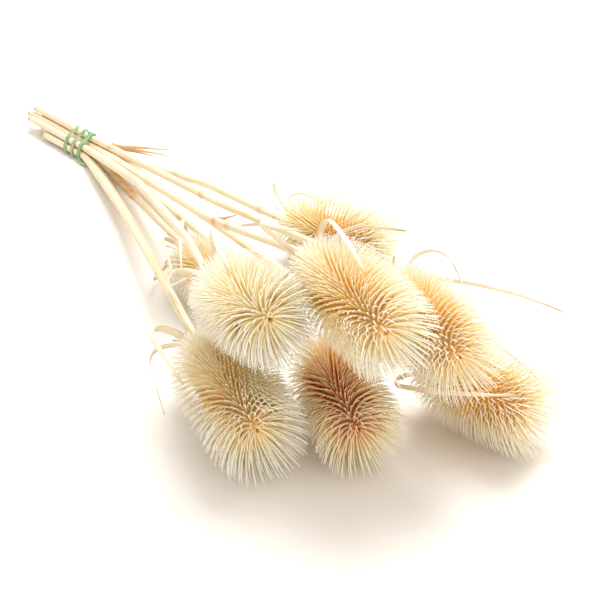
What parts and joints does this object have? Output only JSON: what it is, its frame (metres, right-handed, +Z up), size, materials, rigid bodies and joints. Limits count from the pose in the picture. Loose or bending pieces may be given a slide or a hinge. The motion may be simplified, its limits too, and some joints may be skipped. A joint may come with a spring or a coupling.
{
  "type": "dried teasel bunch",
  "caption": "Bunch of bleached, dried teasel seed heads on long stems, tied with green raffia near the cut ends and lying on its side.",
  "frame": {"origin": "centre of the bounding box's base, on the table the bunch lies on", "axes": "+Z up from the table, seed heads towards -Y, cut stem ends towards +Y"},
  "size_m": [0.2062, 0.5387, 0.1257],
  "materials": {
    "spines": "dry matte straw, amber at the roots",
    "bracts": "dry matte, pale cream",
    "stems": "dry satin straw",
    "raffia": "matte dyed green"
  },
  "bodies": {
    "root": {"head_1": "spines", "head_2": "spines", "head_3": "spines", "head_4": "spines", "head_5": "spines", "head_6": "spines", "head_7": "spines", "head_8": "spines", "involucre_1": "bracts", "involucre_2": "bracts", "involucre_3": "bracts", "involucre_4": "bracts", "involucre_5": "bracts", "involucre_6": "bracts", "involucre_7": "bracts", "involucre_8": "bracts", "stem_1": "stems", "stem_2": "stems", "stem_3": "stems", "stem_4": "stems", "stem_5": "stems", "stem_6": "stems", "stem_7": "stems", "stem_8": "stems", "tie": "raffia"}
  },
  "joints": []
}
